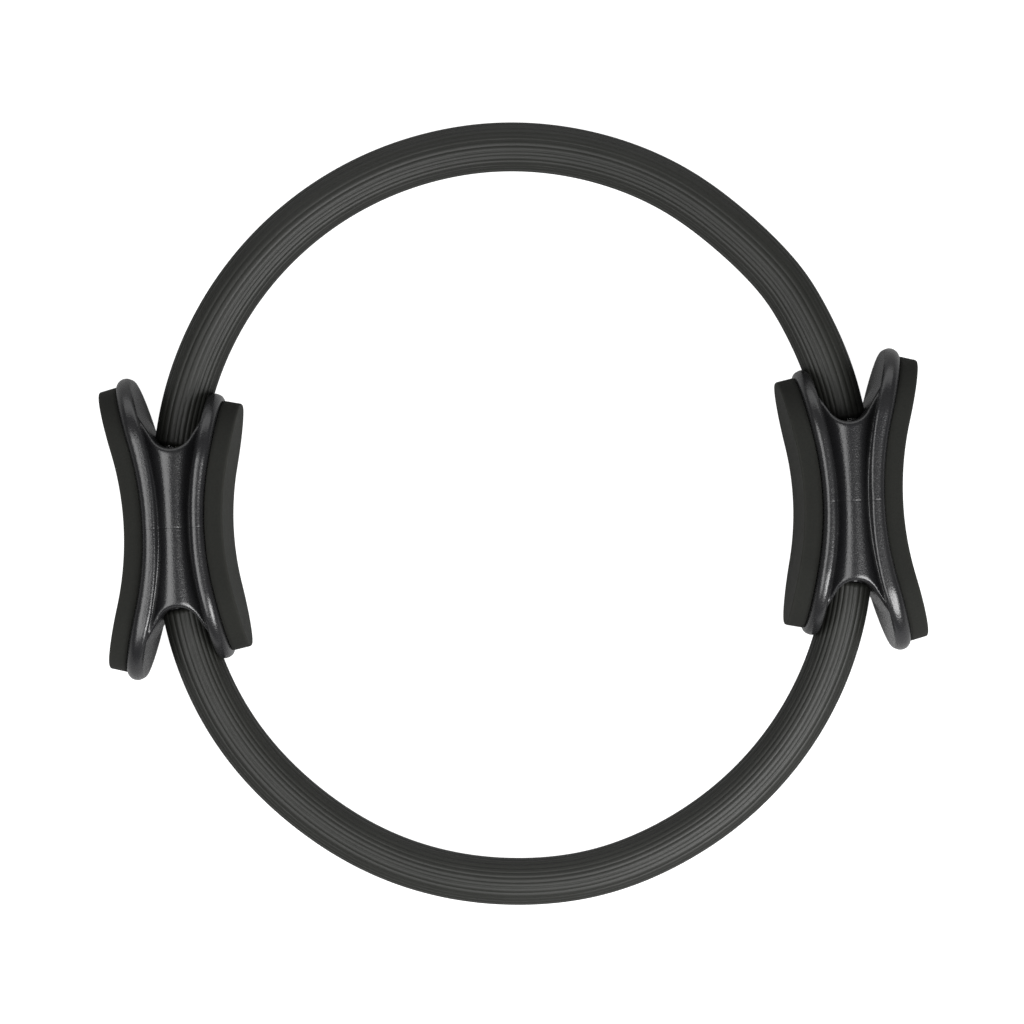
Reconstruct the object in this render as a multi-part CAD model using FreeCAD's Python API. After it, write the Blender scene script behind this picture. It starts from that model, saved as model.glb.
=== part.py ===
import FreeCAD, Part
import math
import os

# Pilates ring lying flat: the hoop's axis is +Z, the two handles are at -X and +X, and the floor is z = 0.
# All sizes are in millimetres.

# Hoop: two half hoops, each a half circle about its own centre, so the hoop is a little taller than wide
ARC_RADIUS = 157.0
ARC_CENTRE_OFFSET = 15.0
HOOP_STEPS = 18

# Ribbed sleeve over each half hoop
SLEEVE_RADIAL = 22.2
SLEEVE_AXIAL = 25.0
RIB_COUNT = 26
RIB_DEPTH = 0.75

# Spring leaves, two in each half hoop
LEAF_THICKNESS = 2.2
LEAF_WIDTH = 16.0
LEAF_SPACING = 0.3

# Handle: how far the neck's middle lies inside the hoop's line, and the spool's sizes there; the gap
# between the flanges is narrower than the sleeve, and the neck fills it up to a shallow groove with a
# round ridge in it, which lies a little outside the neck's middle; the ridge's radius is a share of the gap
NECK_SHIFT = 0.5
NECK_PINCH = 6.1
GROOVE_DEPTH = 7.5
RIDGE_SHIFT = 1.0
CROWN_SHARE = 0.62
NECK_FILLET = 2.2
NECK_FACETS = 3
NECK_STEPS = 2
MOUTH_SPACING = 73.4
MOUTH_RADIUS = 17.5
MOUTH_DEPTH = 14.0
CENTRE_WEB = 6.0

# Flanges: oval plates bowed away from the neck, with flat tips; lengths run along the bow, and the side
# towards the neck bows less than the pad's side, so the flanges are thicker towards their tips
FLANGE_WIDTH = 74.0
FLANGE_THICKNESS = 6.0
FLANGE_TIP_STRAIGHT = 8.8
FLANGE_RIM_BEVEL = 2.0
OUTER_FLANGE_LENGTH = 141.5
INNER_FLANGE_LENGTH = 124.0
OUTER_BOW_RADIUS = 150.0
INNER_BOW_TIGHTER = 13.0
NECK_SIDE_EASIER = 18.0

# Foam pads on the flanges, set in from the flanges' long sides and tips
PAD_THICKNESS = 8.5
PAD_INSET = 4.6
PAD_TIP_INSET = 2.7

# Screws that hold the leaf ends
SCREW_RADIUS = 2.5
SCREW_HEAD_RADIUS = 4.2
SCREW_HEAD_HEIGHT = 3.0
SCREW_SPACING = 40.0
SCREW_TIP_SKIN = 2.5
SCREW_SIDES = 12

# Clearances
SLEEVE_CLEARANCE = 0.3
SLEEVE_END_GAP = 0.8
LEAF_CLEARANCE = 0.3
SCREW_CLEARANCE = 0.05
HEAD_CLEARANCE = 0.4
GLUE_LINE = 0.2

# Two places closer than this are the same place
SAME_PLACE = 0.01

# Places worked out from the sizes above
MID_Z = FLANGE_WIDTH / 2
HANDLE_RADIUS = ARC_RADIUS - NECK_SHIFT
NECK_GAP = SLEEVE_RADIAL - NECK_PINCH
NECK_HEIGHT = FLANGE_WIDTH - 2 * GROOVE_DEPTH
INNER_BOW_RADIUS = ARC_RADIUS - INNER_BOW_TIGHTER
FLANGE_CORNER = (FLANGE_WIDTH - FLANGE_TIP_STRAIGHT) / 2
OUTER_FACE_X = HANDLE_RADIUS + NECK_GAP / 2
INNER_FACE_X = HANDLE_RADIUS - NECK_GAP / 2
SOCKET_FLOOR_Y = MOUTH_SPACING / 2 + SLEEVE_END_GAP / 2
SLEEVE_END_Y = SOCKET_FLOOR_Y + SLEEVE_END_GAP
LEAF_END_Y = CENTRE_WEB / 2 + LEAF_CLEARANCE
MOUTH_CENTRE_Y = MOUTH_SPACING / 2 + MOUTH_RADIUS

UP = FreeCAD.Vector(0, 0, 1)
OUTWARD = FreeCAD.Vector(1, 0, 0)


def vec(x, y, z):
    return FreeCAD.Vector(x, y, z)


def half_turn(shape):
    """The same shape on the opposite side of the hoop's axis."""
    turned = shape.copy()
    turned.rotate(vec(0, 0, 0), UP, 180)
    return turned


class Bow:
    """One flange in plan: each side is an arc about its own upright axis, then straight to the tips."""

    def __init__(self, face_x, radius, flange_length, outward):
        self.outward = outward
        self.face_x = face_x
        self.pad_side = radius
        self.neck_side = radius + NECK_SIDE_EASIER
        self.axis_x = face_x + outward * (radius + FLANGE_THICKNESS)
        self.half_angle = (flange_length / 2 - FLANGE_CORNER) / radius
        self.bend_y = radius * math.sin(self.half_angle)
        self.tip_y = self.bend_y + FLANGE_CORNER

    def point(self, radius, angle, z):
        """A point at a radius and an angle round the pad side's axis, counted from the handle's middle."""
        return vec(self.axis_x - self.outward * radius * math.cos(angle), radius * math.sin(angle), z)

    def side_x(self, axis_x, radius, y):
        bend_x = math.sqrt(radius ** 2 - self.bend_y ** 2)
        if abs(y) > self.bend_y:
            away = bend_x - (abs(y) - self.bend_y) * self.bend_y / bend_x
        else:
            away = math.sqrt(radius ** 2 - y ** 2)
        return axis_x - self.outward * away

    def pad_x(self, y):
        """Where the pad's side passes at a distance y along the handle."""
        return self.side_x(self.axis_x, self.pad_side, y)

    def neck_x(self, y):
        """Where the neck's side passes at a distance y along the handle."""
        return self.side_x(self.face_x + self.outward * self.neck_side, self.neck_side, y)


OUTER_BOW = Bow(OUTER_FACE_X, OUTER_BOW_RADIUS, OUTER_FLANGE_LENGTH, 1)
INNER_BOW = Bow(INNER_FACE_X, INNER_BOW_RADIUS, INNER_FLANGE_LENGTH, -1)


def bowed_plate(bow, width, corner, near_radius, far_radius):
    """A round-cornered plate that follows the bow between two radii from the bow's axis."""
    half = width / 2
    angle = bow.half_angle

    def across(turn):
        corners = [(near_radius, -half), (far_radius, -half), (far_radius, half), (near_radius, half)]
        points = [bow.point(radius, turn, MID_Z + z) for radius, z in corners]
        return Part.Face(Part.makePolygon(points + points[:1]))

    axis_foot = vec(bow.axis_x, 0, 0)
    plate = across(-angle).revolve(axis_foot, UP, -math.degrees(2 * angle) * bow.outward)
    for way in (-1, 1):
        root = bow.point(far_radius, way * angle, MID_Z)
        along = vec(bow.outward * math.sin(angle), way * math.cos(angle), 0)
        inward = vec(bow.outward * math.cos(angle), -way * math.sin(angle), 0)
        plate = plate.fuse(flat_tip(root, along, half, corner).extrude(inward * (far_radius - near_radius)))
    return plate.removeSplitter()


def flat_tip(root, along, half, corner):
    """The outline of a plate's flat tip: two round corners and a short straight edge between them."""
    def at(forward, z):
        return root + along * forward + UP * z

    slant = corner * math.sqrt(0.5)
    straight = half - corner
    low_bend = at(slant, -straight - slant)
    high_bend = at(slant, straight + slant)
    edges = [
        Part.Arc(at(0, -half), low_bend, at(corner, -straight)).toShape(),
        Part.makeLine(at(corner, -straight), at(corner, straight)),
        Part.Arc(at(corner, straight), high_bend, at(0, half)).toShape(),
        Part.makeLine(at(0, half), at(0, -half)),
    ]
    return Part.Face(Part.Wire(edges))


def rim_edges(plate, side_x, bend_y):
    """The edges round a plate's face, on the bow and on the flat tips."""
    rims = []
    for edge in plate.Edges:
        middle = edge.valueAt((edge.FirstParameter + edge.LastParameter) / 2)
        on_face = abs(middle.x - side_x(middle.y)) < SAME_PLACE
        across = edge.Curve.TypeId == "Part::GeomLine" and abs(abs(middle.y) - bend_y) < SAME_PLACE
        if on_face and not across:
            rims.append(edge)
    return rims


def neck_space(bow):
    """The room on the neck's side of a flange, over the flange's whole width."""
    far_y = 2 * bow.tip_y
    far_x = bow.face_x - bow.outward * FLANGE_WIDTH

    def on_side(y):
        return vec(bow.neck_x(y), y, 0)

    low, high = on_side(-bow.bend_y), on_side(bow.bend_y)
    ends = [high, on_side(far_y), vec(far_x, far_y, 0), vec(far_x, -far_y, 0), on_side(-far_y), low]
    edges = [Part.Arc(low, on_side(0), high).toShape()]
    edges += [Part.makeLine(start, stop) for start, stop in zip(ends, ends[1:])]
    return Part.Face(Part.Wire(edges)).extrude(UP * FLANGE_WIDTH)


def flange(bow):
    thickest = bow.neck_x(bow.tip_y) - bow.pad_x(bow.tip_y)
    plate = bowed_plate(bow, FLANGE_WIDTH, FLANGE_CORNER, bow.pad_side, bow.pad_side + abs(thickest))
    plate = plate.cut(neck_space(bow))
    rims = rim_edges(plate, bow.pad_x, bow.bend_y) + rim_edges(plate, bow.neck_x, bow.bend_y)
    return plate.makeChamfer(FLANGE_RIM_BEVEL, rims)


def foam_pad(bow):
    back = bow.pad_side - GLUE_LINE
    face = back - PAD_THICKNESS
    return bowed_plate(bow, FLANGE_WIDTH - 2 * PAD_INSET, FLANGE_CORNER - PAD_TIP_INSET, face, back)


def half_neck_section(side, crown_radius):
    """Half of the neck's top across the handle, in facets: from the ridge into a fillet and up the flange."""
    reach = side - NECK_FILLET
    apart = crown_radius + NECK_FILLET
    lean = math.asin(reach / apart)
    crown_z = NECK_HEIGHT / 2 - crown_radius
    fillet_z = crown_z + apart * math.cos(lean)
    points = []
    for step in range(NECK_FACETS + 1):
        turn = lean * step / NECK_FACETS
        points.append((crown_radius * math.sin(turn), crown_z + crown_radius * math.cos(turn)))
    for step in range(1, NECK_FACETS + 1):
        swing = lean - (lean + math.pi / 2) * step / NECK_FACETS
        points.append((reach - NECK_FILLET * math.sin(swing), fillet_z - NECK_FILLET * math.cos(swing)))
    return points + [(side + FLANGE_THICKNESS / 2, fillet_z)]


def neck_section(y):
    """The neck's outline across the handle, the same above and below."""
    left = INNER_BOW.neck_x(y)
    right = OUTER_BOW.neck_x(y)
    ridge_x = (left + right) / 2 + RIDGE_SHIFT
    crown_radius = CROWN_SHARE * (right - left)
    inner_half = half_neck_section(ridge_x - left, crown_radius)
    outer_half = half_neck_section(right - ridge_x, crown_radius)
    top = [(-x, z) for x, z in reversed(inner_half)] + outer_half[1:]
    outline = top + [(x, -z) for x, z in reversed(top)]
    points = [vec(ridge_x + x, y, MID_Z + z) for x, z in outline]
    return Part.makePolygon(points + points[:1])


def neck():
    """The lofted neck with a round saddle at each mouth."""
    span = MOUTH_SPACING / 2 + MOUTH_DEPTH
    stations = [span * step / NECK_STEPS for step in range(-NECK_STEPS, NECK_STEPS + 1)]
    body = Part.makeLoft([neck_section(y) for y in stations], True, True)
    for way in (-1, 1):
        mouth = vec(HANDLE_RADIUS, way * MOUTH_CENTRE_Y, 0)
        body = body.cut(Part.makeCylinder(MOUTH_RADIUS, FLANGE_WIDTH, mouth))
    return body


def arc_angle(y):
    """The angle about the upper arc's centre at which the hoop's centre line reaches y."""
    return math.degrees(math.asin((y - ARC_CENTRE_OFFSET) / ARC_RADIUS))


def on_arc(x, z, angle):
    """A point of a section carried round the upper arc; x runs outward from the hoop's centre line."""
    radius = ARC_RADIUS + x
    turn = math.radians(angle)
    return vec(radius * math.cos(turn), ARC_CENTRE_OFFSET + radius * math.sin(turn), MID_Z + z)


def oval_outline(angle, radial, axial, groove):
    """An oval section across the hoop, whose rim goes up to a rib and down by the groove in turn."""
    points = []
    for step in range(2 * RIB_COUNT):
        turn = math.pi * step / RIB_COUNT
        drop = groove * (step % 2)
        x = (radial / 2 - drop) * math.cos(turn)
        z = (axial / 2 - drop) * math.sin(turn)
        points.append(on_arc(x, z, angle))
    return Part.makePolygon(points + points[:1])


def sleeve_angles():
    """The angles about the upper arc's centre at which the upper sleeve's straight lengths meet."""
    start = arc_angle(SLEEVE_END_Y)
    sweep = 180 - 2 * start
    return [start + sweep * step / HOOP_STEPS for step in range(HOOP_STEPS + 1)]


def sleeve_socket():
    """The space that one sleeve end takes in the right handle and along its flanges, with its clearance."""
    radial = SLEEVE_RADIAL + 2 * SLEEVE_CLEARANCE
    axial = SLEEVE_AXIAL + 2 * SLEEVE_CLEARANCE
    angles = [arc_angle(SOCKET_FLOOR_Y)] + sleeve_angles()[1:3]
    return Part.makeLoft([oval_outline(angle, radial, axial, 0) for angle in angles], True, True)


def sleeve():
    """The upper sleeve in short straight lengths, with the leaves' flat channel through it."""
    sections = [oval_outline(angle, SLEEVE_RADIAL, SLEEVE_AXIAL, RIB_DEPTH) for angle in sleeve_angles()]
    return Part.makeLoft(sections, True, True).cut(leaf_slot())


def half_hoop_strip(inner, outer, width, end_y):
    """A flat strip on the upper half hoop between two radii, in short straight lengths down to end_y."""
    low_z = MID_Z - width / 2

    def side(radius):
        points = [vec(radius, end_y, low_z)]
        for step in range(HOOP_STEPS + 1):
            turn = math.pi * step / HOOP_STEPS
            points.append(vec(radius * math.cos(turn), ARC_CENTRE_OFFSET + radius * math.sin(turn), low_z))
        return points + [vec(-radius, end_y, low_z)]

    outline = side(outer) + side(inner)[::-1]
    return Part.Face(Part.makePolygon(outline + outline[:1])).extrude(vec(0, 0, width))


def spring_leaf(outer_one):
    """One of the upper half hoop's two leaves, with a screw hole near each end."""
    if outer_one:
        inner = ARC_RADIUS + LEAF_SPACING / 2
    else:
        inner = ARC_RADIUS - LEAF_SPACING / 2 - LEAF_THICKNESS
    strip = half_hoop_strip(inner, inner + LEAF_THICKNESS, LEAF_WIDTH, LEAF_END_Y)
    reach = ARC_RADIUS + SLEEVE_RADIAL
    far_side = vec(-reach, SCREW_SPACING / 2, MID_Z)
    holes = Part.makeCylinder(SCREW_RADIUS + LEAF_CLEARANCE, 2 * reach, far_side, OUTWARD)
    return strip.cut(holes)


def leaf_slot():
    """The space that the upper leaves and their clearance take in the sleeve and in both handles."""
    half_pack = LEAF_THICKNESS + LEAF_SPACING / 2 + LEAF_CLEARANCE
    width = LEAF_WIDTH + 2 * LEAF_CLEARANCE
    return half_hoop_strip(ARC_RADIUS - half_pack, ARC_RADIUS + half_pack, width, CENTRE_WEB / 2)


def screw_seat_x():
    """Where a screw head sits, sunk below the outer flange's face at the neck."""
    return OUTER_BOW.pad_x(0) - SCREW_HEAD_HEIGHT - HEAD_CLEARANCE


def screw_tip_x():
    """Where a screw ends, short of the inner flange's face."""
    return INNER_BOW.pad_x(SCREW_SPACING / 2) + SCREW_TIP_SKIN


def screw_hole(y):
    seat = screw_seat_x()
    tip = screw_tip_x() - HEAD_CLEARANCE
    shank = Part.makeCylinder(SCREW_RADIUS + SCREW_CLEARANCE, seat - tip, vec(tip, y, MID_Z), OUTWARD)
    open_end = OUTER_BOW.pad_x(OUTER_BOW.tip_y)
    sink_radius = SCREW_HEAD_RADIUS + HEAD_CLEARANCE
    sink = Part.makeCylinder(sink_radius, open_end - seat, vec(seat, y, MID_Z), OUTWARD)
    return shank.fuse(sink)


def many_sided_bar(radius, start_x, end_x, y):
    """A bar along X whose corners lie on the radius."""
    points = []
    for step in range(SCREW_SIDES):
        turn = 2 * math.pi * step / SCREW_SIDES
        points.append(vec(start_x, y + radius * math.cos(turn), MID_Z + radius * math.sin(turn)))
    return Part.Face(Part.makePolygon(points + points[:1])).extrude(OUTWARD * (end_x - start_x))


def screw(y):
    seat = screw_seat_x()
    head = many_sided_bar(SCREW_HEAD_RADIUS, seat, seat + SCREW_HEAD_HEIGHT, y)
    shank = many_sided_bar(SCREW_RADIUS, screw_tip_x(), seat, y)
    return head.fuse(shank)


def leaf_screws():
    return Part.makeCompound([screw(way * SCREW_SPACING / 2) for way in (-1, 1)])


def handle_body():
    """The right handle: two bowed flanges on a neck, hollow for the sleeves, the leaves and the screws."""
    body = neck().fuse(flange(OUTER_BOW)).fuse(flange(INNER_BOW))
    slot, socket = leaf_slot(), sleeve_socket()
    body = body.cut(slot).cut(half_turn(slot))
    body = body.cut(socket).cut(socket.mirror(vec(0, 0, 0), vec(0, 1, 0)))
    for way in (-1, 1):
        body = body.cut(screw_hole(way * SCREW_SPACING / 2))
    return body.removeSplitter()


def save(name, shape):
    shape.exportStep(os.path.join("parts", name + ".step"))
    print(name, len(shape.Solids), "solid(s)", round(shape.Volume / 1000, 2), "cm3", "valid", shape.isValid())


os.makedirs("parts", exist_ok=True)

right_pieces = {
    "handle_body": handle_body(),
    "outer_pad": foam_pad(OUTER_BOW),
    "inner_pad": foam_pad(INNER_BOW),
    "leaf_screws": leaf_screws(),
}
upper_pieces = {
    "sleeve": sleeve(),
    "outer_leaf": spring_leaf(True),
    "inner_leaf": spring_leaf(False),
}
for name, shape in right_pieces.items():
    save("right_" + name, shape)
    save("left_" + name, half_turn(shape))
for name, shape in upper_pieces.items():
    save("upper_" + name, shape)
    save("lower_" + name, half_turn(shape))
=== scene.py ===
import itertools
import math

import bpy
import numpy as np
from mathutils import Matrix, Vector


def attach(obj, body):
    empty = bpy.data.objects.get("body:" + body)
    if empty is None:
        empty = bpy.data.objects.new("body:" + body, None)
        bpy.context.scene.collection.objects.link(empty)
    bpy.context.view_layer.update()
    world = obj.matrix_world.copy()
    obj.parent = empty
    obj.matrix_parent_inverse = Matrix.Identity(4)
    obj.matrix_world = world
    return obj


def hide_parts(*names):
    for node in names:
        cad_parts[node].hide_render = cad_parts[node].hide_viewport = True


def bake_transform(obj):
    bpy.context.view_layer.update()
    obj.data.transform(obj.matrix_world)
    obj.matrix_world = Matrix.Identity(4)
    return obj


# Pilates ring lying flat on a pale floor. Sizes are in millimetres until a mesh is made.
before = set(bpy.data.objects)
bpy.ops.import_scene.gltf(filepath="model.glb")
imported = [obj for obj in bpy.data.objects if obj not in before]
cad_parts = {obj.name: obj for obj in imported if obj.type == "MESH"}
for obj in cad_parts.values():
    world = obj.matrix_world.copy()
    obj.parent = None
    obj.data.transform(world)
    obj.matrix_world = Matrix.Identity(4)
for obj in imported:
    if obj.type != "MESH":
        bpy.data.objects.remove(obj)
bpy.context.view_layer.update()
MM = 0.001
ROOT_BODY = "hoop_and_left_handle"
MOVING_BODY = "right_handle"

# Hoop, as in the part's source
ARC_RADIUS = 157.0
ARC_CENTRE_OFFSET = 15.0
MID_Z = 37.0

# Ribbed sleeves: the upper one is a little thicker than the lower one
UPPER_RADIAL = 23.0
LOWER_RADIAL = 22.0
SLEEVE_AXIAL = 24.8
SLEEVE_END_Y = 37.8
RIB_COUNT = 26
RIB_DEPTH = 0.45
RIB_UNEVEN = 0.06
RIB_WAVES = 3
RIB_CREST = 0.6
RIB_POINTS = 10
SLEEVE_ROWS = 200
BORE_ROWS = 50
BORE_HALF_WIDTH = 8.3
BORE_HALF_HEIGHT = 2.65

# Spring leaves
LEAF_THICKNESS = 2.2
LEAF_WIDTH = 16.0
LEAF_SPACING = 0.3
LEAF_END_Y = 3.3
LEAF_ROWS = 72
LEAF_EDGE = 0.4

# Handle spool
HANDLE_RADIUS = 156.5
NECK_GAP = 16.1
NECK_HEIGHT = 59.0
RIDGE_SHIFT = 1.0
CROWN_SHARE = 0.62
NECK_FILLET = 0.9
MOUTH_SPACING = 73.4
MOUTH_RADIUS = 10.0
MOUTH_OPENS = math.radians(32)
MOUTH_DEPTH = 18.0
MOUTH_LIP = 2.6
CENTRE_WEB = 6.0
FLANGE_WIDTH = 74.0
FLANGE_THICKNESS = 6.0
FLANGE_CORNER = 32.6
OUTER_FLANGE_LENGTH = 141.5
INNER_FLANGE_LENGTH = 124.0
OUTER_BOW_RADIUS = 150.0
INNER_BOW_RADIUS = 144.0
NECK_SIDE_EASIER = 12.0
OUTER_SWELL = 1.9
INNER_SWELL = 0.6
SWELL_DEPTH = 6.0
SWELL_AT_MIDDLE = 0.35
OUTER_NECK_EDGE = 1.6
INNER_NECK_EDGE = 2.4
SLEEVE_CLEARANCE = 0.3
SOCKET_FLOOR_Y = 37.1
SEAT_Y = 37.6
SEAT_INSET = 0.5
BLEND_WIDTH = 0.9
PARTING_HALF_WIDTH = 0.4

# The net of faces laid over the handle's field
NET_STEP = 0.72
NET_MARGIN = 3.0
NET_ROUNDS = 3
SETTLE_STEPS = 4
SLOPE_REACH = 0.02
LEAST_SLOPE = 0.2

# Foam pads
PAD_THICKNESS = 8.5
PAD_INSET = 4.6
PAD_TIP_INSET = 2.7
PAD_EASE = 1.0
PAD_BACK_EASE = 0.3
GLUE_LINE = 0.2
PAD_COLUMNS = 224
PAD_RINGS = 12
PAD_SIDE_STEPS = 6
PAD_EDGE_STEPS = 5

# Screws that hold the leaf ends
SCREW_RADIUS = 2.55
SCREW_SINK_RADIUS = 4.6
SCREW_SPACING = 40.0
SCREW_SEAT_X = 167.15
SCREW_TIP_X = 143.15


class Bow:
    """One flange in plan: each side is an arc about its own upright axis, then straight to the tips."""

    def __init__(self, pad_radius, length, outward, neck_edge, swell):
        face_x = HANDLE_RADIUS + outward * NECK_GAP / 2
        self.outward = outward
        self.neck_edge = neck_edge
        self.swell = swell
        self.pad_side = pad_radius
        self.neck_side = pad_radius + NECK_SIDE_EASIER
        self.pad_axis_x = face_x + outward * (pad_radius + FLANGE_THICKNESS)
        self.neck_axis_x = face_x + outward * self.neck_side
        self.bend = (length / 2 - FLANGE_CORNER) / pad_radius
        self.bend_reach = pad_radius * self.bend
        self.bend_y = pad_radius * math.sin(self.bend)
        self.reach = self.bend_reach + FLANGE_CORNER

    def from_axis(self, axis_x, radius, x, y):
        """Distance from an axis, measured square to the side that bows round it at this radius."""
        away = self.outward * (axis_x - x)
        side = np.abs(y)
        sin = self.bend_y / radius
        cos = math.sqrt(1 - sin * sin)
        return np.where(side * cos < away * sin, np.hypot(away, side), away * cos + side * sin)

    def unroll(self, x, y):
        """Distance along the flange from its middle, and depths under its pad side and its neck side."""
        away = self.outward * (self.pad_axis_x - x)
        side = np.abs(y)
        angle = np.arctan2(side, away)
        straight = self.bend_reach - away * math.sin(self.bend) + side * math.cos(self.bend)
        along = np.where(angle < self.bend, self.pad_side * angle, straight)
        under_pad = self.from_axis(self.pad_axis_x, self.pad_side, x, y) - self.pad_side
        under_neck = self.neck_side - self.from_axis(self.neck_axis_x, self.neck_side, x, y)
        return along, under_pad, under_neck

    def place(self, along, above, z):
        """The point at this distance along the flange and this height above its pad side."""
        radius = self.pad_side - above
        angle = np.clip(along / self.pad_side, -self.bend, self.bend)
        beyond = along - angle * self.pad_side
        away = radius * np.cos(angle) - np.abs(beyond) * math.sin(self.bend)
        side = radius * np.sin(angle) + beyond * math.cos(self.bend)
        return np.stack([self.pad_axis_x - self.outward * away, side, MID_Z + z], axis=-1)

    def neck_face_x(self, y):
        """Where the flange's side towards the neck passes at a distance y along the handle."""
        side = np.abs(y)
        bend_away = math.sqrt(self.neck_side ** 2 - self.bend_y ** 2)
        straight = bend_away - (side - self.bend_y) * self.bend_y / bend_away
        curved = np.sqrt(np.maximum(self.neck_side ** 2 - side ** 2, 0))
        return self.neck_axis_x - self.outward * np.where(side > self.bend_y, straight, curved)


OUTER_BOW = Bow(OUTER_BOW_RADIUS, OUTER_FLANGE_LENGTH, 1, OUTER_NECK_EDGE, OUTER_SWELL)
INNER_BOW = Bow(INNER_BOW_RADIUS, INNER_FLANGE_LENGTH, -1, INNER_NECK_EDGE, INNER_SWELL)


# Fields for the handle: negative inside, positive outside, in millimetres
def smooth_max(a, b, width):
    """The larger field, with the edge between the two rounded over a width."""
    mix = np.maximum(width - np.abs(a - b), 0) / width
    return np.maximum(a, b) + mix * mix * width / 4


def smooth_min(a, b, width):
    """The smaller field, with the corner between the two filled over a width."""
    return -smooth_max(-a, -b, width)


def rounded_rectangle(u, v, half_u, half_v, corner):
    """Distance from a rectangle with round corners."""
    over_u = np.abs(u) - half_u + corner
    over_v = np.abs(v) - half_v + corner
    outside = np.hypot(np.maximum(over_u, 0), np.maximum(over_v, 0))
    return outside + np.minimum(np.maximum(over_u, over_v), 0) - corner


def flange_field(bow, x, y, z):
    """A bowed plate with a round rim, which swells towards the neck and the tips."""
    along, under_pad, under_neck = bow.unroll(x, y)
    rim = rounded_rectangle(along, z, bow.reach, FLANGE_WIDTH / 2, FLANGE_CORNER)
    to_bend = np.minimum(along / bow.bend_reach, 1)
    past_bend = np.clip((along - bow.bend_reach) / FLANGE_CORNER, 0, 1)
    swell = bow.swell * (SWELL_AT_MIDDLE + (1 - SWELL_AT_MIDDLE) * to_bend)
    under_neck = under_neck + swell * np.exp(-(rim / SWELL_DEPTH) ** 2)
    half = np.clip((under_pad + under_neck) / 2, FLANGE_THICKNESS / 2, 2 * FLANGE_THICKNESS)
    towards_neck = (under_pad - under_neck) / 2
    neck_edge = bow.neck_edge + (half - bow.neck_edge) * past_bend
    edge = np.where(towards_neck > 0, neck_edge, half)
    over_rim = rim + edge
    over_side = np.abs(towards_neck) - half + edge
    outside = np.hypot(np.maximum(over_rim, 0), np.maximum(over_side, 0))
    return outside + np.minimum(np.maximum(over_rim, over_side), 0) - edge


def neck_field(x, y, z):
    """The spool's neck: a round ridge that runs into fillets along both flanges."""
    left = INNER_BOW.neck_face_x(y)
    right = OUTER_BOW.neck_face_x(y)
    ridge_x = (right + left) / 2 + RIDGE_SHIFT
    crown_radius = CROWN_SHARE * (right - left)
    side = np.where(x > ridge_x, right - ridge_x, ridge_x - left)
    across = np.abs(x - ridge_x)
    up = np.abs(z)
    reach = side - NECK_FILLET
    apart = crown_radius + NECK_FILLET
    lean = np.arcsin(np.minimum(reach / apart, 1))
    crown_z = NECK_HEIGHT / 2 - crown_radius
    fillet_z = crown_z + apart * np.cos(lean)
    crown = np.hypot(across, up - crown_z) - crown_radius
    fillet = NECK_FILLET - np.hypot(across - reach, up - fillet_z)
    past_crown = across * np.cos(lean) > (up - crown_z) * np.sin(lean)
    neck = np.where(past_crown, np.maximum(fillet, up - fillet_z), crown)
    return np.maximum(neck, across - side - FLANGE_THICKNESS / 2)


def mouth_field(x, far):
    """The mouth of a socket in plan: a round bottom whose sides open towards the flanges' tips."""
    across = np.abs(x - HANDLE_RADIUS)
    along = far - MOUTH_SPACING / 2 - MOUTH_RADIUS
    sin, cos = math.sin(MOUTH_OPENS), math.cos(MOUTH_OPENS)
    past_round = along * cos + across * sin > 0
    return np.where(past_round, across * cos - along * sin, np.hypot(across, along)) - MOUTH_RADIUS


def hoop_offset(x, y):
    """How far outside the hoop's centre line a point is, in plan."""
    past_straight = np.maximum(np.abs(y) - ARC_CENTRE_OFFSET, 0)
    return np.hypot(x, past_straight) - ARC_RADIUS


def past_cut(x, y, cut_y):
    """How far a point is past a square cut across the hoop, whose centre line it meets at cut_y."""
    sin = (cut_y - ARC_CENTRE_OFFSET) / ARC_RADIUS
    return (np.abs(y) - ARC_CENTRE_OFFSET) * math.sqrt(1 - sin * sin) - x * sin


def sleeve_oval(offset, z, larger):
    """Distance from a sleeve's oval section, made larger all round."""
    half_radial = UPPER_RADIAL / 2 + larger
    half_axial = SLEEVE_AXIAL / 2 + larger
    return (np.hypot(offset / half_radial, z / half_axial) - 1) * half_radial


def handle_field(x, y, z):
    """The right handle: two flanges on a neck, with mouths, sockets, leaf slots and screw holes."""
    z = z - MID_Z
    far = np.abs(y)
    offset = hoop_offset(x, y)
    neck = smooth_max(neck_field(x, y, z), -mouth_field(x, far), MOUTH_LIP)
    neck = np.maximum(neck, far - MOUTH_SPACING / 2 - MOUTH_DEPTH)
    flanges = np.minimum(flange_field(OUTER_BOW, x, y, z), flange_field(INNER_BOW, x, y, z))
    body = smooth_min(neck, flanges, BLEND_WIDTH)
    socket = sleeve_oval(offset, z, SLEEVE_CLEARANCE)
    body = np.maximum(body, -np.maximum(socket, -past_cut(x, y, SOCKET_FLOOR_Y)))
    seat = np.maximum(sleeve_oval(offset, z, -SEAT_INSET), past_cut(x, y, SEAT_Y))
    body = np.minimum(body, seat)
    slot = np.maximum(np.abs(offset) - BORE_HALF_HEIGHT, np.abs(z) - BORE_HALF_WIDTH)
    body = np.maximum(body, -np.maximum(slot, CENTRE_WEB / 2 - far))
    from_screw = np.hypot(far - SCREW_SPACING / 2, z)
    body = np.maximum(body, -np.maximum(from_screw - SCREW_RADIUS, SCREW_TIP_X - x))
    return np.maximum(body, -np.maximum(from_screw - SCREW_SINK_RADIUS, SCREW_SEAT_X - x))


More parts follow.
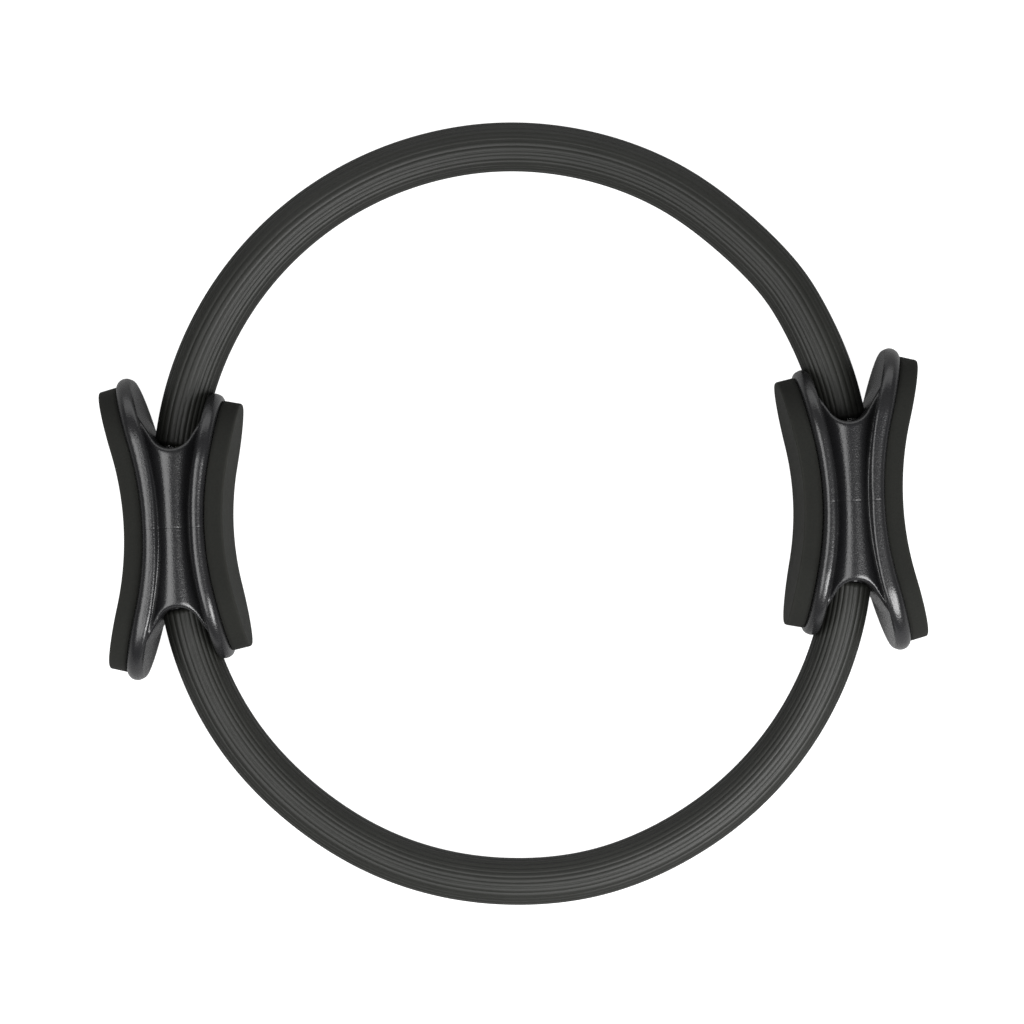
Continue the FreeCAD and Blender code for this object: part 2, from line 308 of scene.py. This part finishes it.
def settle(points, field, limit):
    """Moves points along the field's slope onto its zero surface."""
    for _ in range(SETTLE_STEPS):
        value = field(*points.T)
        slope = np.empty_like(points)
        for axis in range(3):
            shift = np.zeros(3)
            shift[axis] = SLOPE_REACH
            slope[:, axis] = (field(*(points + shift).T) - field(*(points - shift).T)) / (2 * SLOPE_REACH)
        steep = np.maximum((slope ** 2).sum(1), LEAST_SLOPE)
        step = slope * (value / steep)[:, None]
        length = np.maximum(np.linalg.norm(step, axis=1), 1e-9)
        points = points - step * np.minimum(1, limit / length)[:, None]
    return points


def relax(points, quads):
    """Moves each point half-way to the middle of its neighbours."""
    total = np.zeros_like(points)
    count = np.zeros(len(points))
    for a, b in ((0, 1), (1, 2), (2, 3), (3, 0)):
        for here, there in ((a, b), (b, a)):
            np.add.at(total, quads[:, here], points[quads[:, there]])
            np.add.at(count, quads[:, here], 1)
    return (points + total / count[:, None]) / 2


def surface_net(field, low, high, step):
    """A closed mesh of four-sided faces on the surface where the field is zero."""
    axes = [np.arange(a, b + step, step) for a, b in zip(low, high)]
    inside = field(*np.meshgrid(*axes, indexing="ij")) < 0
    corner_count = np.zeros([n - 1 for n in inside.shape], int)
    for i, j, k in itertools.product((0, 1), repeat=3):
        nx, ny, nz = corner_count.shape
        corner_count += inside[i:i + nx, j:j + ny, k:k + nz]
    crossed = (corner_count > 0) & (corner_count < 8)
    number = np.full(crossed.shape, -1)
    number[crossed] = np.arange(crossed.sum())
    cells = np.argwhere(crossed)
    points = np.stack([axes[a][cells[:, a]] + step / 2 for a in range(3)], axis=1)
    quads = []
    for axis in range(3):
        order = (axis, (axis + 1) % 3, (axis + 2) % 3)
        solid = inside.transpose(order)
        cell = number.transpose(order)
        here, there = solid[:-1, 1:-1, 1:-1], solid[1:, 1:-1, 1:-1]
        for leaving in (True, False):
            i, j, k = np.nonzero((here != there) & (here == leaving))
            ring = [cell[i, j, k], cell[i, j + 1, k], cell[i, j + 1, k + 1], cell[i, j, k + 1]]
            quads.append(np.stack(ring if leaving else ring[::-1], axis=1))
    quads = np.concatenate(quads)
    points = settle(points, field, step)
    for _ in range(NET_ROUNDS):
        points = settle(relax(points, quads), field, step)
    return points, quads


# Meshes
def add_mesh(name, points, faces, material, smooth=True):
    """A new object from points in millimetres."""
    mesh = bpy.data.meshes.new(name)
    mesh.from_pydata((np.asarray(points) * MM).tolist(), [], [list(map(int, face)) for face in faces])
    mesh.materials.append(material)
    mesh.validate()
    if smooth:
        mesh.shade_smooth()
    piece = bpy.data.objects.new(name, mesh)
    bpy.context.scene.collection.objects.link(piece)
    return piece


def half_turn(points):
    """The same points on the opposite side of the hoop's axis."""
    return np.asarray(points) * np.array([-1, -1, 1])


def both_sides(points):
    """Each side's name, with its points and the body that they ride on."""
    return ("right", points, MOVING_BODY), ("left", half_turn(points), ROOT_BODY)


def grid_faces(rows, columns, start=0):
    """Four-sided faces between rows of points that go round; the rows' normals follow columns x rows."""
    faces = []
    for row in range(rows - 1):
        for column in range(columns):
            beside = (column + 1) % columns
            low, high = start + row * columns, start + (row + 1) * columns
            faces.append((low + column, low + beside, high + beside, high + column))
    return faces


def make_handles(material):
    """Both handles, the left one being the right one turned about the hoop's axis."""
    margin = 2 * FLANGE_THICKNESS + NET_MARGIN
    reach_y = OUTER_BOW.reach + NET_MARGIN
    low = [INNER_BOW.neck_face_x(INNER_BOW.reach) - margin, -reach_y, -NET_MARGIN]
    high = [OUTER_BOW.neck_face_x(OUTER_BOW.reach) + margin, reach_y, FLANGE_WIDTH + NET_MARGIN]
    points, quads = surface_net(handle_field, low, high, NET_STEP)
    for side, place, body in both_sides(points):
        handle = add_mesh(side + "_handle", place, quads, material)
        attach(handle, body)
        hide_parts(side + "_handle_body")


def pad_outline(bow, inset):
    """The pad's rounded outline along the flange and up it, drawn in by an inset."""
    corner = FLANGE_CORNER - PAD_TIP_INSET - inset
    half_u = bow.reach - PAD_TIP_INSET - inset
    half_v = FLANGE_WIDTH / 2 - PAD_INSET - inset
    straight_u, straight_v = half_u - corner, half_v - corner
    arc = math.pi / 2 * corner
    total = 4 * (straight_u + straight_v + arc)
    points = []
    for column in range(PAD_COLUMNS):
        walk = total * column / PAD_COLUMNS
        points.append(rounded_walk(walk, straight_u, straight_v, corner, arc))
    return np.array(points)


def rounded_walk(walk, straight_u, straight_v, corner, arc):
    """The point at a distance along a rounded rectangle, which starts at the middle of its +u end."""
    quarter = straight_u + straight_v + arc
    turn, rest = divmod(walk, 2 * quarter)
    mirror = rest > quarter
    if mirror:
        rest = 2 * quarter - rest
    if rest < straight_v:
        u, v = straight_u + corner, rest
    elif rest < straight_v + arc:
        angle = (rest - straight_v) / corner
        u, v = straight_u + corner * math.cos(angle), straight_v + corner * math.sin(angle)
    else:
        u, v = straight_u - (rest - straight_v - arc), straight_v + corner
    if mirror:
        u = -u
    return (u, v) if turn == 0 else (-u, -v)


def make_pad(name, bow, material):
    """A die-cut foam sheet on one flange: flat back, straight sides, eased edges."""
    back = GLUE_LINE
    face = back + PAD_THICKNESS
    straight = PAD_THICKNESS - PAD_BACK_EASE - PAD_EASE
    # Each row is an inset of the outline, a height above the flange, and a share of the outline's size
    rows = []
    for ring in range(1, PAD_RINGS + 1):
        rows.append((PAD_BACK_EASE, back, ring / PAD_RINGS))
    for step in range(PAD_SIDE_STEPS + 1):
        rows.append((0, back + PAD_BACK_EASE + straight * step / PAD_SIDE_STEPS, 1))
    for step in range(1, PAD_EDGE_STEPS + 1):
        turn = math.pi / 2 * step / PAD_EDGE_STEPS
        rows.append((PAD_EASE * (1 - math.cos(turn)), face - PAD_EASE * (1 - math.sin(turn)), 1))
    for ring in range(PAD_RINGS - 1, 0, -1):
        rows.append((PAD_EASE, face, ring / PAD_RINGS))
    points = [bow.place(np.array([0.0]), back, np.array([0.0]))]
    for inset, height, share in rows:
        outline = pad_outline(bow, inset) * share
        points.append(bow.place(outline[:, 0], height, outline[:, 1]))
    points.append(bow.place(np.array([0.0]), face, np.array([0.0])))
    points = np.concatenate(points)
    faces = grid_faces(len(rows), PAD_COLUMNS, 1)
    last_row = 1 + (len(rows) - 1) * PAD_COLUMNS
    tip = len(points) - 1
    for column in range(PAD_COLUMNS):
        beside = (column + 1) % PAD_COLUMNS
        faces.append((0, 1 + beside, 1 + column))
        faces.append((last_row + column, last_row + beside, tip))
    if bow.outward > 0:
        faces = [face[::-1] for face in faces]
    for side, place, body in both_sides(points):
        pad = add_mesh(side + "_" + name + "_foam", place, faces, material)
        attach(pad, body)
        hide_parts(side + "_" + name)


def on_arc(x, z, angle):
    """A point carried round the upper arc; x runs outward from the hoop's centre line."""
    radius = ARC_RADIUS + x
    return np.stack([radius * np.cos(angle), ARC_CENTRE_OFFSET + radius * np.sin(angle), MID_Z + z], axis=-1)


def rise(angle, centre, width):
    """A smooth rise to 1 round a centre; the centre and the width are in degrees."""
    return math.exp(-((math.degrees(angle) - centre) / width) ** 2)


def rib_height(turn):
    """The ribs' share of their full height round the sleeve: broad crests of uneven width."""
    uneven_turn = turn + RIB_UNEVEN * np.sin(RIB_WAVES * turn)
    return np.abs(np.cos(RIB_COUNT / 2 * uneven_turn)) ** RIB_CREST


def make_sleeve(half, radial, twist, sway, material):
    """A ribbed foam tube round one half hoop, cut square at both ends, with a flat bore for the leaves."""
    columns = RIB_COUNT * RIB_POINTS
    turn = 2 * math.pi * np.arange(columns) / columns
    start = math.asin((SLEEVE_END_Y - ARC_CENTRE_OFFSET) / ARC_RADIUS)
    sweep = math.pi - 2 * start
    outside, inside = [], []
    for row in range(SLEEVE_ROWS + 1):
        angle = start + sweep * row / SLEEVE_ROWS
        drop = RIB_DEPTH * (1 - rib_height(turn + twist(angle)))
        x = (radial / 2 - drop) * np.cos(turn) + sway(angle)
        z = (SLEEVE_AXIAL / 2 - drop) * np.sin(turn)
        outside.append(on_arc(x, z, angle))
    for row in range(BORE_ROWS + 1):
        angle = start + sweep * row / BORE_ROWS
        x = BORE_HALF_HEIGHT * np.sign(np.cos(turn)) * np.sqrt(np.abs(np.cos(turn)))
        z = BORE_HALF_WIDTH * np.sign(np.sin(turn)) * np.sqrt(np.abs(np.sin(turn)))
        inside.append(on_arc(x, z, angle))
    points = np.concatenate(outside + inside)
    first_bore = len(outside) * columns
    last_row = SLEEVE_ROWS * columns
    last_bore = first_bore + BORE_ROWS * columns
    faces = [face[::-1] for face in grid_faces(len(outside), columns)]
    faces += grid_faces(len(inside), columns, first_bore)
    for column in range(columns):
        beside = (column + 1) % columns
        faces.append((column, beside, first_bore + beside, first_bore + column))
        faces.append((last_row + beside, last_row + column, last_bore + column, last_bore + beside))
    if half == "lower":
        points = half_turn(points)
    sleeve = add_mesh(half + "_ribbed_sleeve", points, faces, material)
    bend_with_hoop(sleeve)
    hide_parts(half + "_sleeve")


def bend_with_hoop(piece):
    """Bakes a piece of the hoop's placement into its mesh; nothing makes it follow the handles."""
    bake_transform(piece)


def make_leaf(half, which, middle_radius, material):
    """A flat spring strip with straight ends, its long edges eased."""
    stations = [(middle_radius, LEAF_END_Y, 0.0)]
    for step in range(LEAF_ROWS + 1):
        angle = math.pi * step / LEAF_ROWS
        y = ARC_CENTRE_OFFSET + middle_radius * math.sin(angle)
        stations.append((middle_radius * math.cos(angle), y, angle))
    stations.append((-middle_radius, LEAF_END_Y, math.pi))
    thick, wide = LEAF_THICKNESS / 2, LEAF_WIDTH / 2
    corner = [(thick, wide - LEAF_EDGE), (thick - LEAF_EDGE, wide)]
    section = corner + [(-u, v) for u, v in corner[::-1]]
    section += [(-u, -v) for u, v in section]
    points = []
    for x, y, angle in stations:
        for u, v in section:
            points.append((x + u * math.cos(angle), y + u * math.sin(angle), MID_Z + v))
    columns = len(section)
    faces = [face[::-1] for face in grid_faces(len(stations), columns)]
    faces.append(tuple(range(columns)))
    faces.append(tuple(reversed(range(len(points) - columns, len(points)))))
    if half == "lower":
        points = half_turn(points)
    leaf = add_mesh(f"{half}_{which}_strip", points, faces, material, smooth=False)
    bend_with_hoop(leaf)
    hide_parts(f"{half}_{which}")


# Materials
class Shader:
    """A material with one Principled shader, whose nodes are added by name."""

    def __init__(self, name, colour, roughness):
        self.material = bpy.data.materials.new(name)
        self.material.use_nodes = True
        self.tree = self.material.node_tree
        self.surface = self.tree.nodes["Principled BSDF"]
        self.surface.inputs["Base Color"].default_value = (*colour, 1)
        self.surface.inputs["Roughness"].default_value = roughness
        self.place = self.add("ShaderNodeTexCoord").outputs["Object"]

    def add(self, kind, **values):
        node = self.tree.nodes.new(kind)
        for key, value in values.items():
            setattr(node, key, value)
        return node

    def link(self, output, node, socket):
        self.tree.links.new(output, node.inputs[socket])

    def noise(self, scale, detail=2.0, stretch=None):
        """Noise in the piece's own space, whose axes can be stretched."""
        node = self.add("ShaderNodeTexNoise")
        node.inputs["Scale"].default_value = scale
        node.inputs["Detail"].default_value = detail
        place = self.place
        if stretch:
            mapping = self.add("ShaderNodeMapping")
            mapping.inputs["Scale"].default_value = stretch
            self.link(place, mapping, "Vector")
            place = mapping.outputs["Vector"]
        self.link(place, node, "Vector")
        return node.outputs["Fac"]

    def ramp(self, value, stops):
        """A colour ramp over a value; stops are (position, colour) pairs."""
        node = self.add("ShaderNodeValToRGB")
        elements = node.color_ramp.elements
        while len(elements) < len(stops):
            elements.new(0.5)
        for element, (position, colour) in zip(elements, stops):
            element.position = position
            element.color = (*colour, 1)
        self.link(value, node, "Fac")
        return node.outputs["Color"]

    def spread(self, value, low, high, reach=1.0):
        """A value from 0 to a reach carried to another range."""
        node = self.add("ShaderNodeMapRange")
        node.inputs["From Max"].default_value = reach
        node.inputs["To Min"].default_value = low
        node.inputs["To Max"].default_value = high
        self.link(value, node, "Value")
        return node.outputs["Result"]

    def mix(self, share, first, second):
        """One colour passing into another; the node's colours are its sockets 6 and 7, and its output 2."""
        node = self.add("ShaderNodeMix", data_type="RGBA")
        self.link(share, node, "Factor")
        self.tree.links.new(first, node.inputs[6])
        self.tree.links.new(second, node.inputs[7])
        return node.outputs[2]

    def facing_x(self):
        """1 where the surface faces along the piece's X axis, 0 where it lies square to that."""
        axes = self.add("ShaderNodeSeparateXYZ")
        self.link(self.add("ShaderNodeTexCoord").outputs["Normal"], axes, "Vector")
        share = self.add("ShaderNodeMath", operation="ABSOLUTE")
        self.link(axes.outputs["X"], share, "Value")
        return share.outputs["Value"]

    def bump(self, height, strength, distance, under=None):
        """A relief from a height, which can lie on top of another one."""
        node = self.add("ShaderNodeBump")
        node.inputs["Strength"].default_value = strength
        node.inputs["Distance"].default_value = distance
        self.link(height, node, "Height")
        if under:
            self.link(under, node, "Normal")
        return node.outputs["Normal"]

    def finish(self, colour=None, roughness=None, normal=None):
        """Links what varies over the surface, and gives the material."""
        for output, socket in ((colour, "Base Color"), (roughness, "Roughness"), (normal, "Normal")):
            if output:
                self.link(output, self.surface, socket)
        return self.material


def parting_line(shader):
    """The height of a fine groove across the handle's middle, where the halves of its mould met."""
    axes = shader.add("ShaderNodeSeparateXYZ")
    shader.link(shader.place, axes, "Vector")
    away = shader.add("ShaderNodeMath", operation="ABSOLUTE")
    shader.link(axes.outputs["Y"], away, "Value")
    return shader.spread(away.outputs["Value"], 0.0, 1.0, PARTING_HALF_WIDTH * MM)


def handle_plastic():
    """Black moulded plastic with a fine spark texture."""
    shader = Shader("handle_plastic", (0.008, 0.008, 0.009), 0.26)
    fine = shader.noise(1400, 3)
    broad = shader.noise(60, 2)
    colour = shader.ramp(broad, [(0.3, (0.008, 0.008, 0.009)), (0.7, (0.011, 0.011, 0.0115))])
    roughness = shader.spread(shader.noise(900, 2), 0.2, 0.32)
    normal = shader.bump(parting_line(shader), 0.5, 0.0001)
    return shader.finish(colour, roughness, shader.bump(fine, 0.5, 0.00015, normal))


def pad_foam():
    """Dark closed-cell foam, fine open pores on cut sides; faces paler: partly skin, partly painted light.
    """
    shader = Shader("pad_foam", (0.005, 0.0053, 0.004), 0.9)
    cells = shader.add("ShaderNodeTexVoronoi")
    cells.inputs["Scale"].default_value = 2200
    shader.link(shader.place, cells, "Vector")
    grain = shader.noise(1100, 3)
    cut = shader.ramp(grain, [(0.25, (0.0026, 0.0029, 0.002)), (0.75, (0.005, 0.0053, 0.0039))])
    # The upright faces get a paler colour than the cut sides: partly the foam's skin, partly painted light
    # that brightens them as light from the sides would.
    skin_and_painted_light = shader.ramp(grain, [(0.25, (0.0125, 0.013, 0.0108)), (0.75, (0.0165, 0.017, 0.0142))])
    colour = shader.mix(shader.facing_x(), cut, skin_and_painted_light)
    normal = shader.bump(cells.outputs["Distance"], 0.3, 0.00015)
    normal = shader.bump(grain, 0.3, 0.0002, normal)
    shader.surface.inputs["Specular IOR Level"].default_value = 0.28
    return shader.finish(colour, None, normal)


def sleeve_foam():
    """Charcoal extruded foam rubber with a soft shine on the ribs."""
    shader = Shader("sleeve_foam", (0.008, 0.0084, 0.0068), 0.52)
    shader.surface.inputs["Specular IOR Level"].default_value = 0.33
    grain = shader.noise(1300, 3)
    patches = shader.noise(35, 3)
    colour = shader.ramp(patches, [(0.3, (0.007, 0.0074, 0.0059)), (0.7, (0.0092, 0.0096, 0.0079))])
    roughness = shader.spread(grain, 0.46, 0.58)
    return shader.finish(colour, roughness, shader.bump(grain, 0.25, 0.0001))


def leaf_fibreglass():
    """Pultruded glass fibre: yellowish, with fine strands along it."""
    shader = Shader("leaf_fibreglass", (0.32, 0.3, 0.2), 0.4)
    strands = shader.noise(900, 2, (0.15, 0.15, 1.0))
    colour = shader.ramp(strands, [(0.3, (0.24, 0.22, 0.13)), (0.7, (0.4, 0.38, 0.26))])
    return shader.finish(colour, None, shader.bump(strands, 0.2, 0.0001))


def screw_steel():
    """Zinc-plated steel with a turned grain."""
    shader = Shader("screw_steel", (0.55, 0.55, 0.56), 0.3)
    shader.surface.inputs["Metallic"].default_value = 1.0
    grain = shader.noise(1800, 2, (0.2, 1.0, 1.0))
    return shader.finish(None, shader.spread(grain, 0.22, 0.42), shader.bump(grain, 0.1, 0.00005))


# Stage: a floor in millimetres, then lamps and a camera in metres
FLOOR_HALF = 4000.0
FLOOR_DROP = 0.2
FLOOR_GLOW = 0.12
SURROUND = 0.12


def add_area_light(name, place, aim, size, power):
    light = bpy.data.lights.new(name, "AREA")
    light.shape = "RECTANGLE"
    light.size, light.size_y = size
    light.energy = power
    lamp = bpy.data.objects.new(name, light)
    lamp.location = place
    lamp.rotation_euler = (Vector(aim) - Vector(place)).to_track_quat("-Z", "Y").to_euler()
    bpy.context.scene.collection.objects.link(lamp)


def make_floor():
    """A lit table: white to the eye, while only a part of its glow falls on the ring."""
    shader = Shader("pale_floor", (0.2, 0.2, 0.2), 0.9)
    shader.surface.inputs["Emission Color"].default_value = (1, 1, 1, 1)
    seen = shader.add("ShaderNodeLightPath").outputs["Is Camera Ray"]
    shader.link(shader.spread(seen, FLOOR_GLOW, 1.0), shader.surface, "Emission Strength")
    corners = [(FLOOR_HALF * x, FLOOR_HALF * y, 0) for x, y in ((-1, -1), (1, -1), (1, 1), (-1, 1))]
    floor = add_mesh("floor", corners, [(0, 1, 2, 3)], shader.finish(), smooth=False)
    floor.location.z = -FLOOR_DROP * MM


def make_world():
    """A dim, even surround, like the walls of a light tent."""
    world = bpy.data.worlds.new("surround")
    world.use_nodes = True
    background = world.node_tree.nodes["Background"]
    background.inputs["Color"].default_value = (SURROUND, SURROUND, SURROUND, 1)
    bpy.context.scene.world = world


def make_lights():
    """Two long softboxes beside the camera, the right one stronger, and a low fill past the upper arc."""
    add_area_light("left_softbox", (-0.62, -0.35, 1.1), aim=(0, -0.35, 0), size=(1.3, 0.75), power=16)
    add_area_light("right_softbox", (0.62, -0.84, 1.1), aim=(0, -0.84, 0), size=(1.2, 0.75), power=43)
    add_area_light("back_fill", (0, 1.4, 0.5), aim=(0, 0, 0.03), size=(2.6, 0.9), power=12)


# The camera looks straight down the hoop's axis. Its roll is in degrees, and its shift in millimetres.
SENSOR_WIDTH = 36.0
CAMERA_DISTANCE = 1.59
FRAME_WIDTH = 0.480
CAMERA_ROLL = -2.28
CAMERA_SHIFT = Vector((-0.66, 1.03, 0))


def make_camera():
    camera = bpy.data.cameras.new("camera")
    camera.sensor_width = SENSOR_WIDTH
    camera.lens = SENSOR_WIDTH * CAMERA_DISTANCE / FRAME_WIDTH
    holder = bpy.data.objects.new("camera", camera)
    turn = Matrix.Rotation(math.radians(CAMERA_ROLL), 4, "Z")
    shift = turn @ (CAMERA_SHIFT * MM)
    holder.matrix_world = Matrix.Translation(shift + Vector((0, 0, MID_Z * MM + CAMERA_DISTANCE))) @ turn
    bpy.context.scene.collection.objects.link(holder)
    bpy.context.scene.camera = holder


# The sleeves lie a little unevenly. The upper one's angles start at the right handle, and the lower
# one's at the left handle.
def upper_twist(angle):
    """How far the upper sleeve's ribs turn about its own line."""
    return math.radians(3) * math.sin(2 * angle)


def lower_twist(angle):
    """The same for the lower sleeve, which turns more towards its middle."""
    return math.radians(12) * math.sin(angle)


def upper_sway(angle):
    """How far the upper sleeve strays from its arc: a flat part near the right handle."""
    return 0.5 * rise(angle, 33, 6) - 0.7 * rise(angle, 48, 9) + 0.15 * rise(angle, 90, 12)


def lower_sway(angle):
    """The same for the lower sleeve."""
    return -0.7 * rise(angle, 49, 14) + 0.6 * rise(angle, 102, 12)


make_camera()
make_world()
make_lights()
make_floor()
make_handles(handle_plastic())
foam = pad_foam()
make_pad("outer_pad", OUTER_BOW, foam)
make_pad("inner_pad", INNER_BOW, foam)
rubber = sleeve_foam()
make_sleeve("upper", UPPER_RADIAL, upper_twist, upper_sway, rubber)
make_sleeve("lower", LOWER_RADIAL, lower_twist, lower_sway, rubber)
fibreglass = leaf_fibreglass()
leaf_offset = (LEAF_SPACING + LEAF_THICKNESS) / 2
for half in ("upper", "lower"):
    make_leaf(half, "outer_leaf", ARC_RADIUS + leaf_offset, fibreglass)
    make_leaf(half, "inner_leaf", ARC_RADIUS - leaf_offset, fibreglass)
steel = screw_steel()
for side in ("left", "right"):
    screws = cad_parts[side + "_leaf_screws"]
    screws.data.materials.clear()
    screws.data.materials.append(steel)

bpy.context.scene.view_settings.view_transform = "Standard"
